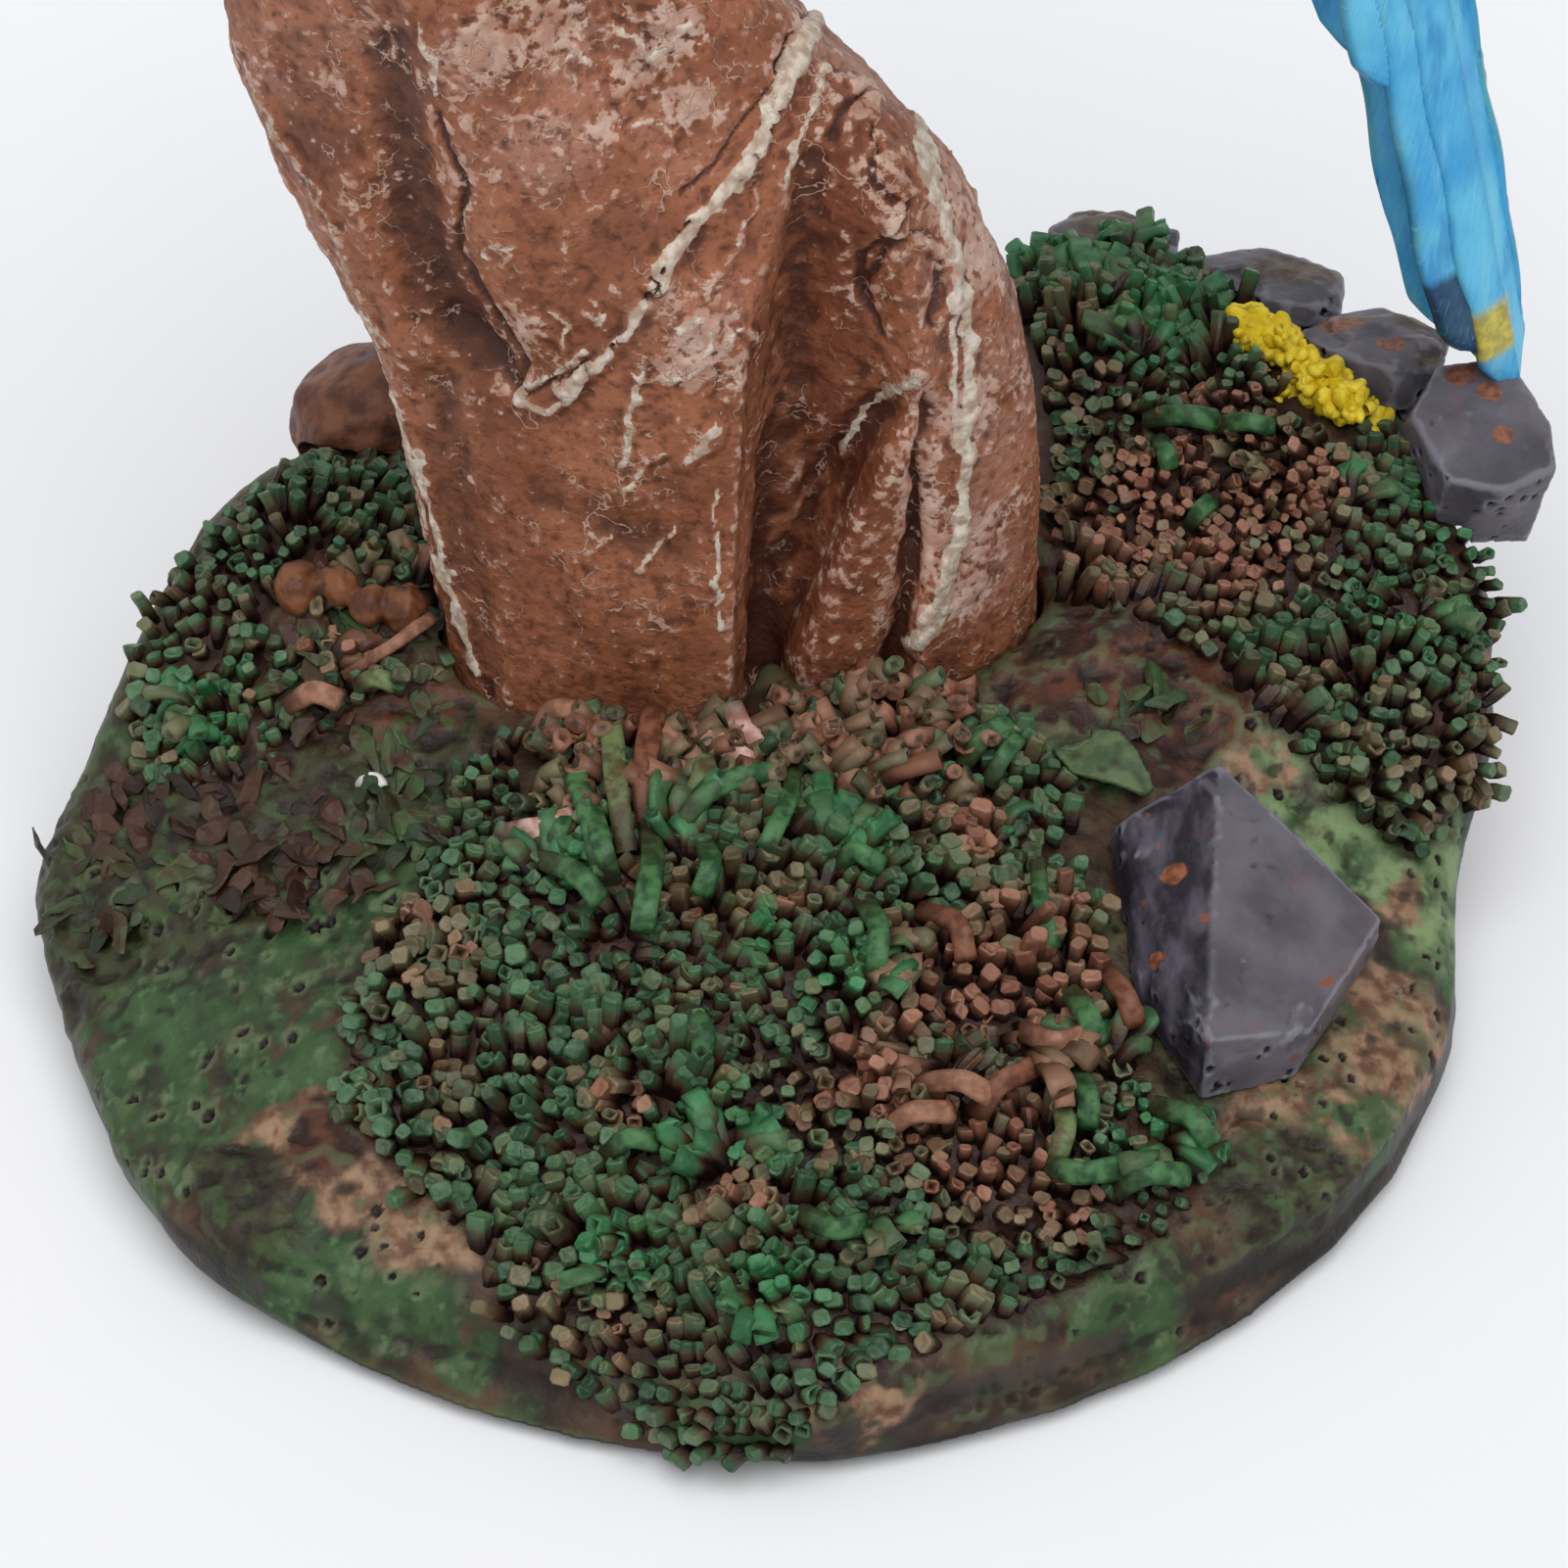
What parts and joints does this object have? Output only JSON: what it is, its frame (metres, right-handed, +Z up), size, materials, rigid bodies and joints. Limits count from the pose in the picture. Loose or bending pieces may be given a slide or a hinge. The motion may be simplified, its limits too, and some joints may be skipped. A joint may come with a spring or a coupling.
{
  "type": "parrot figurine",
  "caption": "Painted cast-resin macaw with a long tail, perched on a gnarled hollow trunk that stands in a round mossy mound with slates and felt under it.",
  "frame": {"origin": "middle of the felt's underside, on the surface that the ornament stands on", "axes": "+Z up, -Y to the front that the picture shows, +X to the side on which the tail hangs"},
  "size_m": [0.1197, 0.1137, 0.1927],
  "materials": {
    "felt": "matte felt",
    "earth_resin": "cast resin, dark brown paint with a green wash",
    "slate_resin": "cast resin, blue-grey paint",
    "boulder_resin": "cast resin, brown paint",
    "leaf_resin": "cast resin, green paint",
    "lichen_resin": "cast resin, yellow paint",
    "seed_resin": "cast resin, brown paint",
    "moss_resin": "cast resin, brown paint dry-brushed green",
    "grass_resin": "cast resin, green and brown paint",
    "bark_resin": "cast resin, red-brown paint with dark wash and cream dry-brush",
    "yellow_resin": "cast resin, golden-yellow paint",
    "blue_resin": "cast resin, sky-blue paint with darker shafts",
    "beak_resin": "cast resin, satin black paint",
    "eye_glass": "gloss painted bead",
    "foot_resin": "cast resin, dark grey paint",
    "steel_wire": "drawn wire"
  },
  "bodies": {
    "root": {"underside_felt": "felt", "base_mound": "earth_resin", "front_slate": "slate_resin", "corner_slate": "slate_resin", "rear_slate_right": "slate_resin", "rear_slate_middle": "slate_resin", "rear_slate_left": "slate_resin", "back_boulder": "boulder_resin", "fallen_leaf": "leaf_resin", "yellow_lichen": "lichen_resin", "seed_cluster": "seed_resin", "front_moss": "moss_resin", "left_moss": "moss_resin", "right_moss": "moss_resin", "rear_moss": "moss_resin", "foot_grass": "grass_resin", "trunk": "bark_resin", "perch_limb": "bark_resin", "body": "yellow_resin", "left_foot": "foot_resin", "left_leg_pin": "steel_wire", "right_foot": "foot_resin", "right_leg_pin": "steel_wire", "tail_feathers_left": "blue_resin", "tail_feathers_right": "blue_resin", "upper_tail_coverts": "blue_resin", "under_tail_coverts": "yellow_resin", "left_wing": "blue_resin", "right_wing": "blue_resin", "head": "blue_resin", "upper_beak": "beak_resin", "lower_beak": "beak_resin", "left_eye": "eye_glass", "right_eye": "eye_glass"}
  },
  "joints": []
}
